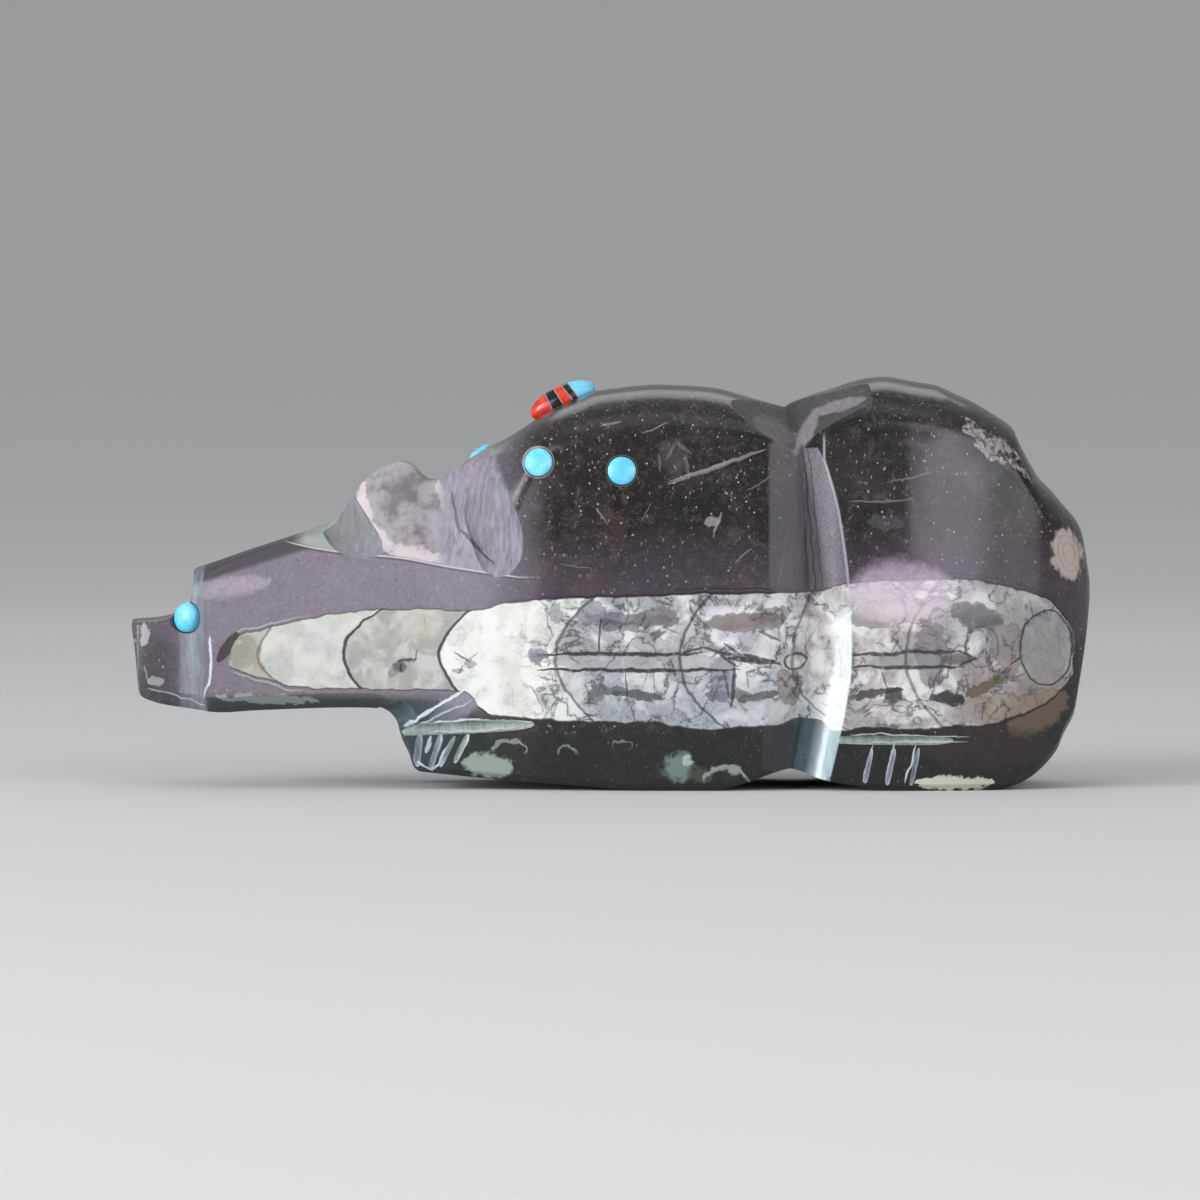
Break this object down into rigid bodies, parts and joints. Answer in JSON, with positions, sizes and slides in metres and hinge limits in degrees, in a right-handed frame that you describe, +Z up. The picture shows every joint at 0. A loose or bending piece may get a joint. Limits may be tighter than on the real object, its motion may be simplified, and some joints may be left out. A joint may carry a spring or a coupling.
{
  "type": "carved stone bear figure",
  "caption": "Small carved and polished fossil-limestone bear with turquoise eyes, turquoise dots and an inlaid bundle of coral, jet and turquoise on its back.",
  "frame": {"origin": "on the ground under the middle of the bear's length and width", "axes": "+X from the nose to the rump, +Y to the bear's right side, +Z up"},
  "size_m": [0.1022, 0.0276, 0.0437],
  "materials": {
    "fossil_limestone": "polished black limestone with a pale straight-shelled fossil along the flank",
    "turquoise": "polished sky-blue turquoise",
    "red_coral": "polished red coral",
    "jet": "polished black jet"
  },
  "bodies": {
    "root": {"bear_body": "fossil_limestone", "left_eye": "turquoise", "right_eye": "turquoise", "neck_turquoise_dot": "turquoise", "left_front_turquoise_dot": "turquoise", "left_rear_turquoise_dot": "turquoise", "right_front_turquoise_dot": "turquoise", "right_rear_turquoise_dot": "turquoise", "bundle_front_coral": "red_coral", "bundle_front_jet": "jet", "bundle_rear_coral": "red_coral", "bundle_rear_jet": "jet", "bundle_turquoise": "turquoise"}
  },
  "joints": []
}
